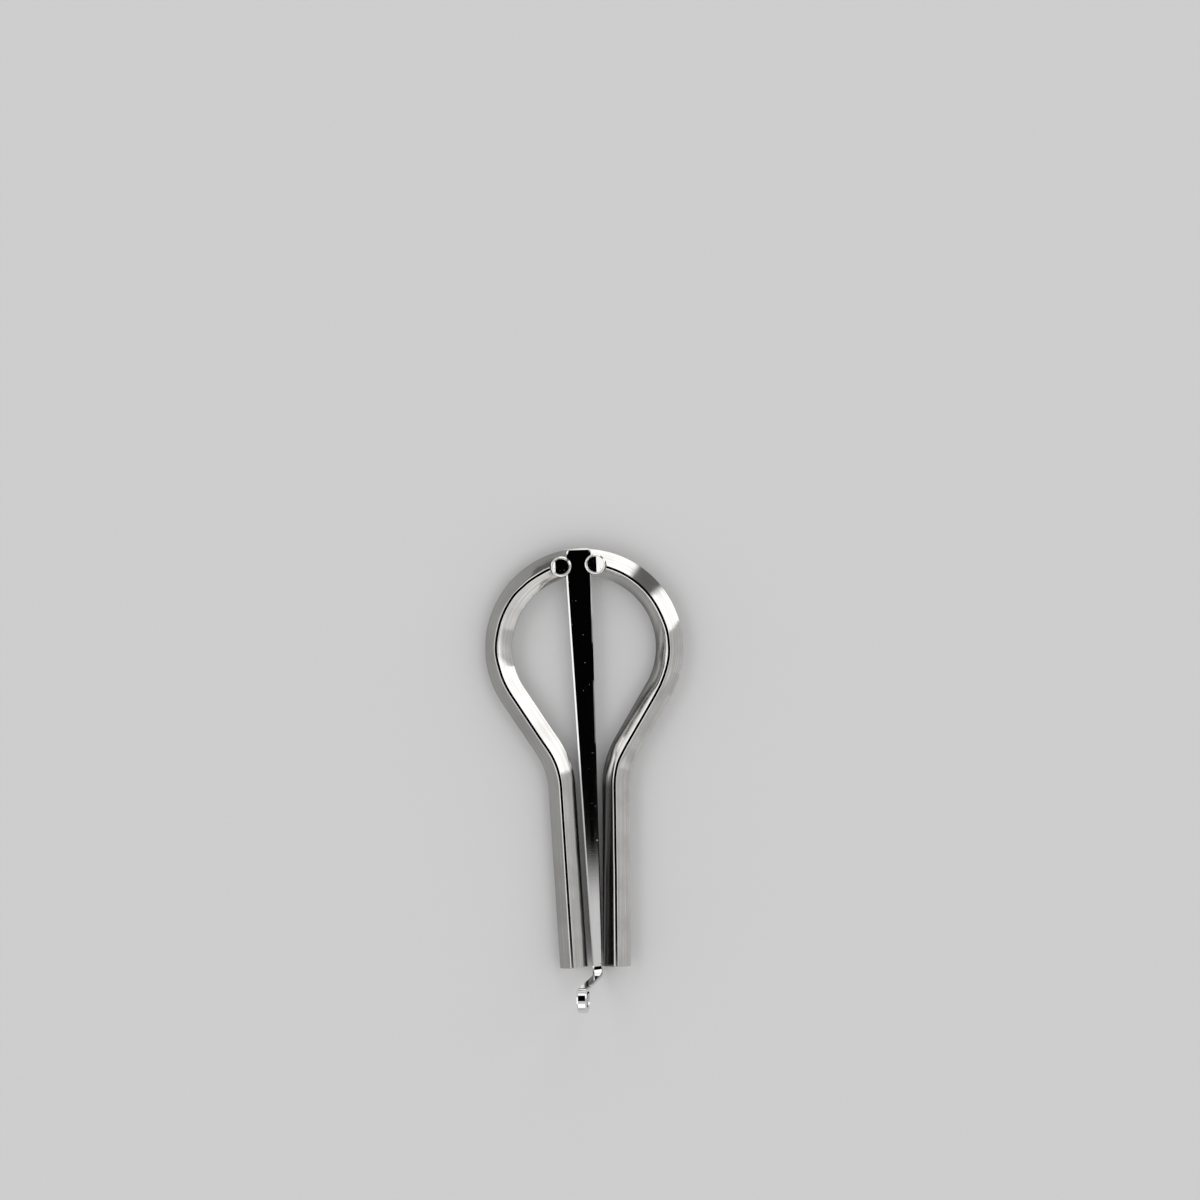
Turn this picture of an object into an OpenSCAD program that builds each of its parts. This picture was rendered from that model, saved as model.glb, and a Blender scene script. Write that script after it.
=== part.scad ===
/* [Bar and bow] */
// Side of the square bar that the frame is bent from, standing on its corner
bar_side = 4; // [3.4:0.1:4.8]
// Radius of the bar's long corners
corner_r = 0.5; // [0.3:0.05:0.8]
// Radius of the round bow, to the middle of the bar
bow_r = 16.45; // [14.5:0.25:20]
// Angle at which each side of the bow runs in to the neck
neck_angle = 32; // [28:1:37]
// Radius of the bend at the neck, to the middle of the bar
neck_bend_r = 16; // [9:0.5:22]

/* [Arms] */
// Angle at which each arm closes in towards its end
arm_angle = 1.7; // [1:0.1:2.4]
// Gap between the ends of the two arms
arm_gap = 3.1; // [2.7:0.1:4]
// Distance from the middle of the bow to the ends of the arms
arm_reach = 61.5; // [54:0.5:72]

/* [Reed] */
// Thickness of the spring steel
reed_t = 0.85; // [0.6:0.05:1.1]
// Width of the reed where it leaves the crown of the bow
reed_root_w = 4.8; // [4:0.1:5.4]
// Width of the reed where it bends up at the ends of the arms
reed_tip_w = 1.9; // [1.4:0.05:2.2]
// Width of the bevel along the edges of the reed
reed_bevel = 0.2; // [0.1:0.05:0.25]
// Distance that the reed's head sits to the left of the middle of the crown
head_shift = 0.6; // [0:0.1:1]
// Distance of the head's end inside the outer corner of the bar
head_inset = 0.3; // [0.1:0.05:0.6]
// Height of the reed's middle above the middle of the bar, at the crown
head_rise = 0.5; // [0.3:0.05:0.6]
// Distance of the reed's middle below the middle of the bar, where it bends up
tip_drop = 0.18; // [0:0.02:0.3]
// Share of the play between the arms by which the reed's tip sits to the right
tip_side_share = 0.66; // [0:0.02:0.7]
// Share of the free reed, from the crown, at which it bends when plucked
flex_share = 0.15; // [0.1:0.01:0.2]

/* [Staking] */
// Gap between the reed's edges and the walls of its slot
slot_clear = 0.05; // [0.02:0.01:0.1]
// Distance of each punch mark's middle from the reed's edge
stake_out = 0.9; // [0.6:0.05:1.2]
// Distance of each punch mark's middle inside the middle line of the bar
stake_in = 0.25; // [0:0.05:0.4]
// Diameter of the raised rim round a punch mark
rim_d = 3.9; // [3.2:0.1:4.4]
// Diameter of a punch mark at its mouth
mark_d = 3; // [2.4:0.1:3.1]
// Diameter of a punch mark's floor
mark_floor_d = 2.5; // [1.6:0.1:2.6]
// Thickness of the lip that is pressed down on the reed
lip_t = 0.35; // [0.25:0.05:0.5]
// Depth of a punch mark below its rim
mark_depth = 0.9; // [0.7:0.05:1.1]
// Bevel round the top of the rim
rim_bevel = 0.2; // [0.1:0.05:0.3]
// Angle at which the floor of a punch mark climbs on the side away from the reed
ramp_angle = 24; // [16:1:32]
// Distance from the middle of the left mark outwards to the start of that slope
left_ramp_start = 0.9; // [0.4:0.1:1]
// Distance from the middle of the right mark outwards to the start of that slope
right_ramp_start = 0.2; // [0.1:0.1:0.8]

/* [Trigger] */
// Radius of the bend where the reed turns up, to the middle of the steel
trigger_bend_r = 1.7; // [1.2:0.1:2.4]
// Distance from the ends of the arms back to the start of that bend
trigger_set_back = 0.3; // [0.1:0.1:1.4]
// Angle of the stem away from upright, outwards
trigger_lean = 14; // [8:1:26]
// Angle of the stem away from upright, to the left
trigger_side_lean = 18; // [0:1:22]
// Length of the stem between the bend and the curl
stem_len = 9.8; // [7:0.2:14]
// Outside diameter of the rolled curl at the end
curl_d = 4.6; // [3.8:0.1:5.6]
// Angle through which the curl is rolled
curl_turn = 300; // [240:10:305]
// Angle of the curl's axis away from level
curl_tilt = 9; // [0:1:18]

/* [Hidden] */

// Overrun of every cut
cut_over = 1;
// Gap between the two halves of the reed at the place where it flexes
flex_gap = 0.12;
// Gap round a punch mark's rim, where the ridge of the bar is pushed back
rim_gap = 0.12;
// How much thinner the steel is drawn in a bend than in the straight stretches beside it
bend_relief = 0.02;
// How far a bend reaches into the straight stretch at each of its ends
bend_seat = 0.05;

$fn = 96;

// Angle of one of the three small flats that round a long corner of the bar
corner_step = 30;

// Bar, from its middle to its corners, and the run of each side towards the neck
corner_reach = (bar_side / 2 - corner_r) * sqrt(2);
bar_half = corner_reach + corner_r * cos(corner_step / 2);
bow_end = bow_r * [cos(neck_angle), -sin(neck_angle)];
arm_end = [arm_gap / 2 + bar_half / cos(arm_angle), -arm_reach];
turn_angle = neck_angle - arm_angle;
bend_run = neck_bend_r * tan(turn_angle / 2);
run_x = bow_end.x - arm_end.x;
run_y = bow_end.y - arm_end.y;
side_len = (run_x * cos(arm_angle) - run_y * sin(arm_angle)) / sin(turn_angle) - bend_run;
arm_len = (run_y * sin(neck_angle) - run_x * cos(neck_angle)) / sin(turn_angle) - bend_run;
arm_dir = [-sin(arm_angle), -cos(arm_angle)];
arm_start = arm_end - arm_dir * arm_len;
bend_centre = arm_start + [cos(arm_angle), -sin(arm_angle)] * neck_bend_r;

// Reed, in its own frame: y runs along it, with zero at the middle of the crown's bar, and z is
// its thickness, with zero at its middle. It slopes down a little towards its tip.
tip_play = (arm_gap - reed_tip_w) / 2;
head_point = [-head_shift, bow_r];
tip_point = [tip_play * tip_side_share, trigger_set_back - arm_reach];
reed_run = norm(tip_point - head_point);
reed_len = norm([reed_run, head_rise + tip_drop]);
reed_pitch = atan2(head_rise + tip_drop, reed_run);
reed_slant = atan2(tip_point.x - head_point.x, head_point.y - tip_point.y);
head_end = bar_half - head_inset;
free_len = reed_len - bar_half;
flex_y = -bar_half - free_len * flex_share;
taper_angle = atan2((reed_root_w - reed_tip_w) / 2, free_len);
bevel_cut = 4 * reed_bevel;

// Staking, measured up from the middle of the bar
lip_z = head_rise + reed_t / 2;
rim_z = lip_z + lip_t + mark_depth;
stake_x = reed_root_w / 2 + stake_out;

// Trigger, from the end of the flat reed
bend_turn = 90 - trigger_lean;
curl_r = (curl_d - reed_t) / 2;
stem_foot = [0, -reed_len - trigger_bend_r * sin(bend_turn), trigger_bend_r * (1 - cos(bend_turn))];
stem_top = stem_len * [-sin(trigger_side_lean), 0, cos(trigger_side_lean)];

// Lowest point of the curl along the harp, which sets the middle of the whole length
curl_centre = stem_foot + tip_back(stem_top - [0, curl_r, 0]);
curl_axis = tip_back([cos(curl_tilt), 0, sin(curl_tilt)]);
axis_share = along_harp(curl_axis);
curl_low = head_point.y + along_harp(curl_centre) - curl_d / 2 * sqrt(1 - pow(axis_share, 2))
    - reed_tip_w / 2 * abs(axis_share);
bow_y = -(bow_r + bar_half + curl_low) / 2;

// A point of the upright stem, turned out by the stem's lean
function tip_back(p) = [
    p.x,
    p.y * cos(trigger_lean) - p.z * sin(trigger_lean),
    p.y * sin(trigger_lean) + p.z * cos(trigger_lean)
];

// How far a point of the reed's own frame lies along the harp
function along_harp(p) = p.x * sin(reed_slant)
    + (p.y * cos(reed_pitch) - p.z * sin(reed_pitch)) * cos(reed_slant);

// Width of the reed at a place along it
function reed_w(y) = reed_root_w + 2 * (y + bar_half) * tan(taper_angle);

// Angle of a bend that takes up the length of its seat
function seat_turn(radius) = bend_seat / radius * 180 / PI;

// Square bar on its corner, each long corner rounded in three small flats
module bar_section(relief = 0) {
    reach = corner_reach - relief * sqrt(2);
    polygon([
        for (corner = [0:3], step = [0:3])
            let (at = 90 * corner, turn = at + corner_step * (step - 1.5))
                reach * [cos(at), sin(at)] + corner_r * [cos(turn), sin(turn)]
    ]);
}

// Bar bent round the origin through an angle from +X, and a little into what it joins
module bent_stretch(radius, angle) {
    rotate(-seat_turn(radius)) rotate_extrude(angle = angle + 2 * seat_turn(radius))
        translate([radius, 0]) bar_section(bend_relief);
}

// Straight stretch of bar that leaves a point in a direction turned from the harp's length
module straight_bar(start, angle, length) {
    translate(start) rotate([90, 0, -angle]) linear_extrude(length) bar_section();
}

// One side of the frame, from the end of the round bow to the end of the arm
module frame_side() {
    straight_bar(bow_end, neck_angle, side_len);
    translate(bend_centre) rotate(180 - neck_angle) bent_stretch(neck_bend_r, turn_angle);
    straight_bar(arm_start, arm_angle, arm_len);
}

module bent_bar() {
    rotate(-neck_angle) bent_stretch(bow_r, 180 + 2 * neck_angle);
    for (side = [0, 1]) mirror([side, 0, 0]) frame_side();
}

// Everything of the reed stands in this frame, slanted across the harp and sloped down along it
module in_reed_frame() {
    translate([head_point.x, head_point.y, head_rise]) rotate(reed_slant) rotate([reed_pitch, 0, 0])
        children();
}

// Flat outline of the reed between two places along it, with a margin at its sides
module reed_outline(from, to, margin = 0) {
    polygon([
        [-reed_w(from) / 2 - margin, from],
        [reed_w(from) / 2 + margin, from],
        [reed_w(to) / 2 + margin, to],
        [-reed_w(to) / 2 - margin, to]
    ]);
}

// Slot across the crown, as wide as the reed's head, between two heights
module head_slot(from, to) {
    in_reed_frame() translate([0, 0, from]) linear_extrude(to - from)
        reed_outline(-bar_half - cut_over, bar_half + cut_over, slot_clear);
}

// Places its children at the punch mark on one side of the reed, just inside the bar's middle line
module at_stake(side) {
    stake = head_point.x + side * stake_x;
    translate([stake, sqrt(pow(bow_r - stake_in, 2) - pow(stake, 2))]) children();
}

// Places its children at both punch marks
module at_stakes() {
    for (side = [-1, 1]) at_stake(side) children();
}

// Raised rim of a punch mark, up from the middle of the bar
module stake_rim() {
    rotate_extrude() polygon([
        [0, 0],
        [rim_d / 2, 0],
        [rim_d / 2, rim_z - rim_bevel],
        [rim_d / 2 - rim_bevel, rim_z],
        [0, rim_z]
    ]);
}

// Hollow that the punch leaves. Its floor is flat, and slopes up on the side away from the reed.
module stake_mark(side) {
    ramp_start = side > 0 ? right_ramp_start : left_ramp_start;
    difference() {
        translate([0, 0, lip_z + lip_t])
            cylinder(d1 = mark_floor_d, d2 = mark_d, h = mark_depth);
        translate([side * ramp_start, 0, lip_z + lip_t]) rotate([0, -side * ramp_angle, 0])
            translate([side * mark_d, 0, -mark_d / 2])
                cube([2 * mark_d, 2 * mark_d, mark_d], center = true);
    }
    translate([0, 0, rim_z]) cylinder(d = mark_d, h = bar_half);
}

// The frame is one bent bar, slotted at the crown from the floor that carries the reed's head. The
// rims of its two punch marks reach over the slot and end on top of the head as two lips.
module frame() {
    color("silver") translate([0, bow_y, bar_half]) difference() {
        union() {
            difference() {
                bent_bar();
                head_slot(-reed_t / 2, bar_half + reed_t);
                at_stakes() translate([0, 0, rim_z - rim_bevel])
                    cylinder(d = rim_d + 2 * rim_gap, h = bar_half);
            }
            difference() {
                at_stakes() stake_rim();
                head_slot(-bar_half, reed_t / 2);
            }
        }
        for (side = [-1, 1]) at_stake(side) stake_mark(side);
    }
}

// Flat blade of the reed between two places along it, with its long edges bevelled
module blade(from, to) {
    difference() {
        translate([0, 0, -reed_t / 2]) linear_extrude(reed_t) reed_outline(from, to);
        for (side = [-1, 1], face = [-1, 1])
            translate([side * reed_w(from) / 2, from, face * reed_t / 2])
                rotate(-side * taper_angle) rotate([0, side * face * 45, 0])
                    translate([0, 0, face * (bevel_cut / 2 - reed_bevel / sqrt(2))])
                        cube([bevel_cut, 2 * reed_len, bevel_cut], center = true);
    }
}

// Clamped end of the reed: its head in the slot, and the stretch that hardly bends
module reed_root() {
    color("dimgray") translate([0, bow_y, bar_half]) in_reed_frame()
        blade(head_end, flex_y + flex_gap);
}

// Steel rolled about the reed's width from below, and a little into what it starts from
module rolled_steel(radius, angle, end_seat) {
    start = seat_turn(radius);
    rotate([0, 90, 0]) rotate(-start) rotate_extrude(angle = angle + start + end_seat)
        translate([radius, 0])
            square([reed_t, reed_tip_w] - 2 * bend_relief * [1, 1], center = true);
}

// Stem that stands up from the bend and leans to its side, square to the bend and to the curl
module stem() {
    foot = [reed_tip_w / 2, 0];
    top = [stem_top.x, stem_top.z];
    top_half = reed_tip_w / 2 * [cos(curl_tilt), sin(curl_tilt)];
    rotate([90, 0, 0]) linear_extrude(reed_t, center = true)
        polygon([-foot, foot, top + top_half, top - top_half]);
}

// The reed's end turned up for the finger, rolled outwards at its top
module trigger() {
    translate([0, -reed_len, trigger_bend_r]) rotate([-bend_turn, 0, 0])
        rolled_steel(trigger_bend_r, bend_turn, seat_turn(trigger_bend_r));
    translate(stem_foot) rotate([trigger_lean, 0, 0]) {
        stem();
        translate(stem_top - [0, curl_r, 0]) rotate([0, -curl_tilt, 0])
            rotate([90, 0, 0]) rolled_steel(curl_r, curl_turn, 0);
    }
}

// Free tongue of the reed, which swings between the arms
module reed_tongue() {
    color("gray") translate([0, bow_y, bar_half]) in_reed_frame() {
        blade(flex_y, -reed_len);
        trigger();
    }
}

frame();
reed_root();
reed_tongue();
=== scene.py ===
# Jaw harp: the looks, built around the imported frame
import math

import bmesh
import bpy
from mathutils import Matrix, Vector
from mathutils.kdtree import KDTree


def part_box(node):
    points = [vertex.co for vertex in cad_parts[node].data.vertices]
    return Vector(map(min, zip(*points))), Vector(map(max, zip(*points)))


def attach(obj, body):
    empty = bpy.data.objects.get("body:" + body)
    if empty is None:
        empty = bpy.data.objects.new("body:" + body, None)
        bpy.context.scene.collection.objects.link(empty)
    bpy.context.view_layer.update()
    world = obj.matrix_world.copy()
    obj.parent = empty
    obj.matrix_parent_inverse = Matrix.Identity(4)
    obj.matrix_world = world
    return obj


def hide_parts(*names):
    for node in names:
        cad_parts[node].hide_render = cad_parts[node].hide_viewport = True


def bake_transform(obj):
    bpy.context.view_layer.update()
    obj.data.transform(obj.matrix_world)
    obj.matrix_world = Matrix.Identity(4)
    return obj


mm = 0.001

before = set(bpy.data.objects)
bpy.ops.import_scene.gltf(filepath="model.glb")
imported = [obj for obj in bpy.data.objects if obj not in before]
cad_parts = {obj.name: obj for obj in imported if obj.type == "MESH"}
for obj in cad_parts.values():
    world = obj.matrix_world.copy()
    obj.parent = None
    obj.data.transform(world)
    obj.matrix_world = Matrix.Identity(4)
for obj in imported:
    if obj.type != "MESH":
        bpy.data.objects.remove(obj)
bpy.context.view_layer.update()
print("frame loaded:", sorted(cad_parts))


# Small helpers for node trees

def addNode(tree, kind, inputs=None, **settings):
    made = tree.nodes.new(kind)
    for name, value in settings.items():
        setattr(made, name, value)
    for name, value in (inputs or {}).items():
        plug(tree, value, made.inputs[name])
    return made


def plug(tree, value, socket):
    if isinstance(value, bpy.types.NodeSocket):
        tree.links.new(value, socket)
    else:
        socket.default_value = value


def calc(tree, operation, *values):
    made = tree.nodes.new("ShaderNodeMath")
    made.operation = operation
    for place, value in enumerate(values):
        plug(tree, value, made.inputs[place])
    return made.outputs[0]


def plus(tree, first, second):
    return calc(tree, "ADD", first, second)


def times(tree, first, second):
    return calc(tree, "MULTIPLY", first, second)


def smoothStep(tree, value, low, high, atLow=0.0, atHigh=1.0):
    inputs = {"Value": value, "From Min": low, "From Max": high, "To Min": atLow, "To Max": atHigh}
    made = addNode(tree, "ShaderNodeMapRange", inputs, interpolation_type="SMOOTHSTEP")
    return made.outputs["Result"]


def noise(tree, vector, scale, detail):
    made = addNode(tree, "ShaderNodeTexNoise", {"Vector": vector, "Scale": scale, "Detail": detail})
    return made.outputs[0]


def mixColour(tree, share, low, high):
    # A Mix node's sockets go by number, because those of all kinds share their names
    made = addNode(tree, "ShaderNodeMix", {0: share, 6: low, 7: high}, data_type="RGBA")
    return made.outputs[2]


def mixValue(tree, share, low, high):
    made = addNode(tree, "ShaderNodeMix", {0: share, 2: low, 3: high}, data_type="FLOAT")
    return made.outputs[0]


def newGroup(name, treeKind, inputs, outputs):
    group = bpy.data.node_groups.new(name, treeKind)
    for socketName, kind, value in inputs:
        socket = group.interface.new_socket(socketName, in_out="INPUT", socket_type=kind)
        if value is not None:
            socket.default_value = value
    for socketName, kind in outputs:
        group.interface.new_socket(socketName, in_out="OUTPUT", socket_type=kind)
    given, wanted = group.nodes.new("NodeGroupInput"), group.nodes.new("NodeGroupOutput")
    return group, given.outputs, wanted.inputs


def placeGroup(tree, group, inputs):
    return addNode(tree, "ShaderNodeGroup", inputs, node_tree=group).outputs


# Small helpers for meshes

def linkObject(name, data):
    made = bpy.data.objects.new(name, data)
    bpy.context.scene.collection.objects.link(made)
    return made


def meshOf(name, points, faces=(), edges=()):
    mesh = bpy.data.meshes.new(name)
    mesh.from_pydata([tuple(p) for p in points], list(edges), list(faces))
    mesh.update()
    return mesh


def prismObject(name, placed, outline, low, high, material):
    # A block of any outline, which runs anticlockwise from above, between two heights
    count = len(outline)
    points = [placed @ Vector((x, y, z)) for z in (low, high) for x, y in outline]
    faces = [tuple(reversed(range(count))), tuple(range(count, 2 * count))]
    faces += [(k, (k + 1) % count, (k + 1) % count + count, k + count) for k in range(count)]
    mesh = meshOf(name, points, faces)
    mesh.materials.append(material)
    faceOutwards(mesh)
    return linkObject(name, mesh)


def faceOutwards(mesh):
    work = bmesh.new()
    work.from_mesh(mesh)
    bmesh.ops.recalc_face_normals(work, faces=work.faces)
    work.to_mesh(mesh)
    work.free()


def finishSmooth(mesh, sharpAngle):
    mesh.shade_smooth()
    mesh.set_sharp_from_angle(angle=sharpAngle)


def setAttribute(mesh, name, kind, values):
    layer = mesh.attributes.new(name, kind, "POINT")
    if kind == "FLOAT_VECTOR":
        layer.data.foreach_set("vector", [c for v in values for c in v])
    else:
        layer.data.foreach_set("value", values)


def runTree(owner, tree, values):
    # Runs a node tree on an object and keeps the result as its plain mesh
    modifier = owner.modifiers.new(tree.name, "NODES")
    modifier.node_group = tree
    sockets = {item.name: item.identifier for item in tree.interface.items_tree
               if item.in_out == "INPUT"}
    for name, value in values.items():
        modifier[sockets[name]] = value
    keepResult(owner)


def keepResult(owner):
    graph = bpy.context.evaluated_depsgraph_get()
    mesh = bpy.data.meshes.new_from_object(owner.evaluated_get(graph),
                                           preserve_all_data_layers=True, depsgraph=graph)
    owner.modifiers.clear()
    owner.data = mesh


def smoothInterp(keys, place):
    for (low, lowValue), (high, highValue) in zip(keys, keys[1:]):
        if place <= high:
            share = (place - low) / (high - low)
            share = share * share * (3 - 2 * share)
            return lowValue + (highValue - lowValue) * share
    return keys[-1][1]


# Finishes. A pair of numbers is where something starts and where it is full

drawing = {"broadScale": 0.3, "fineShare": 0.6, "broadShare": 0.4, "streaks": (0.35, 0.65)}
scatter = {"smallest": 0.4, "core": 0.4}


def drawnLinesGroup():
    # Fine lines that drawing and brushing leave along a piece, on the piece's own lay: x along it
    group, given, wanted = newGroup(
        "DrawnLines", "ShaderNodeTree",
        [("Vector", "NodeSocketVector", None), ("Along", "NodeSocketFloat", 120.0),
         ("Across", "NodeSocketFloat", 9000.0)],
        [("Height", "NodeSocketFloat"), ("Streaks", "NodeSocketFloat")])
    stretch = addNode(group, "ShaderNodeCombineXYZ",
                      {"X": given["Along"], "Y": given["Across"], "Z": given["Across"]})
    scaled = addNode(group, "ShaderNodeVectorMath", {0: given["Vector"], 1: stretch.outputs[0]},
                     operation="MULTIPLY").outputs[0]
    fine = noise(group, scaled, 1.0, 3.0)
    broad = noise(group, scaled, drawing["broadScale"], 1.0)
    height = plus(group, times(group, fine, drawing["fineShare"]),
                  times(group, broad, drawing["broadShare"]))
    plug(group, height, wanted["Height"])
    plug(group, smoothStep(group, broad, *drawing["streaks"]), wanted["Streaks"])
    return group


def specksGroup():
    # Scattered tiny nicks: a round dot in some of the cells
    group, given, wanted = newGroup(
        "Specks", "ShaderNodeTree",
        [("Vector", "NodeSocketVector", None), ("Spacing", "NodeSocketFloat", 0.001),
         ("Size", "NodeSocketFloat", 0.1), ("Share", "NodeSocketFloat", 0.3)],
        [("Mask", "NodeSocketFloat")])
    scale = calc(group, "DIVIDE", 1.0, given["Spacing"])
    cells = addNode(group, "ShaderNodeTexVoronoi", {"Vector": given["Vector"], "Scale": scale},
                    feature="F1")
    luck = addNode(group, "ShaderNodeSeparateColor", {"Color": cells.outputs["Color"]})
    chosen = calc(group, "LESS_THAN", luck.outputs[0], given["Share"])
    size = times(group, given["Size"], plus(group, luck.outputs[1], scatter["smallest"]))
    dot = smoothStep(group, cells.outputs["Distance"], size, times(group, size, scatter["core"]))
    plug(group, times(group, dot, chosen), wanted["Mask"])
    return group


drawnLines = drawnLinesGroup()
specks = specksGroup()


def newMaterial(name, metallic):
    material = bpy.data.materials.new(name)
    material.use_nodes = True
    tree = material.node_tree
    shader = tree.nodes["Principled BSDF"]
    shader.inputs["Metallic"].default_value = metallic
    return material, tree, shader


def addBump(tree, height, shader):
    bump = addNode(tree, "ShaderNodeBump", {"Height": height, "Strength": 1.0, "Distance": 1.0})
    plug(tree, bump.outputs[0], shader.inputs["Normal"])


def layVector(tree):
    return addNode(tree, "ShaderNodeAttribute", attribute_name="lay").outputs["Vector"]


def ownPlace(tree):
    return addNode(tree, "ShaderNodeTexCoord").outputs["Object"]


# Painted shade on the bar, a dark colour for the shade and dark reflections on its inner sides and on
# the outer side of its left half: along it from the left arm's end, and across it, outwards from its
# middle
paintedShadeSides = {
    "raggedEdge": 1.2 * mm,
    "innerAcross": (-1.0 * mm, -3.1 * mm),
    "leftArm": (43 * mm, 40 * mm),
    "leftInner": 0.5,
    "rightSide": (94 * mm, 102 * mm),
    "deepAcross": (-0.3 * mm, -0.8 * mm),     # the right arm, as far as its ridge
    "rightArm": (142 * mm, 146 * mm),
    "outerAcross": (0.42 * mm, 0.65 * mm),
    "leftSide": (92 * mm, 86 * mm),
    "leftOuter": 0.5,
    "crownStart": (72 * mm, 82 * mm),
    "crownOuter": 0.1,
    "crownEnd": (92 * mm, 90 * mm),
}


def paintedShadePatches(tree, lay, cloud):
    # Painted shade: a dark colour on the bar's inner side, least on the left arm and most on the right
    # arm, and on the outer side of its left half
    along, across, _ = addNode(tree, "ShaderNodeSeparateXYZ", {"Vector": lay}).outputs
    ragged = times(tree, calc(tree, "SUBTRACT", cloud, 0.5), paintedShadeSides["raggedEdge"])
    inner = smoothStep(tree, plus(tree, across, ragged), *paintedShadeSides["innerAcross"])
    innerSide = plus(tree, smoothStep(tree, along, *paintedShadeSides["leftArm"], 0.0, paintedShadeSides["leftInner"]),
                     smoothStep(tree, along, *paintedShadeSides["rightSide"]))
    deepest = times(tree, smoothStep(tree, along, *paintedShadeSides["rightArm"]),
                    smoothStep(tree, across, *paintedShadeSides["deepAcross"]))
    inwards = calc(tree, "MAXIMUM", times(tree, inner, innerSide), deepest)
    outerSide = plus(
        tree, smoothStep(tree, along, *paintedShadeSides["leftSide"], 0.0, paintedShadeSides["leftOuter"]),
        smoothStep(tree, along, *paintedShadeSides["crownStart"], 0.0, paintedShadeSides["crownOuter"]))
    outwards = times(tree, smoothStep(tree, across, *paintedShadeSides["outerAcross"]), outerSide)
    return inwards, times(tree, outwards, smoothStep(tree, along, *paintedShadeSides["crownEnd"]))


def barNickel(look):
    material, tree, metal = newMaterial("bar_nickel", 1.0)
    lay = layVector(tree)
    lines = placeGroup(tree, drawnLines,
                       {"Vector": lay, "Along": look["along"], "Across": look["across"]})
    drawn = addNode(tree, "ShaderNodeVectorMath", {0: lay, 1: look["drawnOut"]},
                    operation="MULTIPLY").outputs[0]
    nicks = placeGroup(tree, specks, {"Vector": drawn, "Spacing": look["nickSpacing"],
                                      "Size": look["nickSize"], "Share": look["nickShare"]})
    cloud = noise(tree, lay, look["cloudScale"], 3.0)
    tone = mixColour(tree, smoothStep(tree, cloud, *look["clouds"]), look["light"], look["shade"])
    tone = mixColour(tree, times(tree, lines["Streaks"], look["streakShare"]), tone, look["streak"])
    # Painted shade: the dark colour laid over the bar's inner sides and the outer side of its left
    # half, with a little more roughness on the inner sides
    inwards, outwards = paintedShadePatches(tree, lay, cloud)
    paintedShade = calc(tree, "MAXIMUM", inwards, outwards)
    plug(tree, mixColour(tree, paintedShade, tone, look["paintedShade"]), metal.inputs["Base Color"])
    rough = smoothStep(tree, lines["Streaks"], 0.0, 1.0, look["smooth"], look["rough"])
    rough = plus(tree, rough, times(tree, inwards, look["paintedShadeRough"]))
    rough = plus(tree, rough, times(tree, nicks["Mask"], look["nickRough"]))
    plug(tree, rough, metal.inputs["Roughness"])
    chatter = placeGroup(tree, drawnLines, {"Vector": lay, "Along": look["chatterAlong"],
                                            "Across": look["chatterAcross"]})
    waves = noise(tree, drawn, look["waveScale"], 1.0)
    height = plus(tree, times(tree, lines["Height"], look["lineDepth"]),
                  times(tree, waves, look["waveDepth"]))
    height = plus(tree, height, times(tree, chatter["Height"], look["chatterDepth"]))
    height = calc(tree, "SUBTRACT", height, times(tree, nicks["Mask"], look["nickDepth"]))
    addBump(tree, height, metal)
    return material


def pressedNickel(look):
    # The narrow lands on the bar's corners, where the dies pressed the plate smooth
    material, tree, metal = newMaterial("pressed_land", 1.0)
    wear = noise(tree, ownPlace(tree), look["wearScale"], 3.0)
    tone = mixColour(tree, smoothStep(tree, wear, *look["worn"]), look["light"], look["shade"])
    plug(tree, tone, metal.inputs["Base Color"])
    rough = smoothStep(tree, wear, *look["dulled"], look["smooth"], look["rough"])
    plug(tree, rough, metal.inputs["Roughness"])
    return material


def struckNickel(look):
    # Metal that the punch moved: pressed flat in the marks and drawn up round them, with a few pits
    material, tree, metal = newMaterial(look["name"], 1.0)
    pits = noise(tree, ownPlace(tree), look["pitScale"], 3.0)
    pitted = smoothStep(tree, pits, *look["pits"])
    plug(tree, mixColour(tree, pitted, look["light"], look["dark"]), metal.inputs["Base Color"])
    rough = smoothStep(tree, pitted, 0.0, 1.0, look["smooth"], look["rough"])
    plug(tree, rough, metal.inputs["Roughness"])
    addBump(tree, times(tree, pitted, -look["pitDepth"]), metal)
    return material


def shearedSteel(look):
    # Ends of the arms, where the bar was sheared off
    material, tree, metal = newMaterial("sheared_end", 1.0)
    place = ownPlace(tree)
    upright = addNode(tree, "ShaderNodeMapping", {"Vector": place, "Scale": look["lineScale"]})
    lines = noise(tree, upright.outputs[0], 1.0, 3.0)
    grain = noise(tree, place, look["grainScale"], 4.0)
    plug(tree, mixColour(tree, grain, look["light"], look["dark"]), metal.inputs["Base Color"])
    rough = smoothStep(tree, grain, *look["grains"], look["smooth"], look["rough"])
    plug(tree, rough, metal.inputs["Roughness"])
    addBump(tree, times(tree, plus(tree, lines, grain), look["depth"]), metal)
    return material


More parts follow.
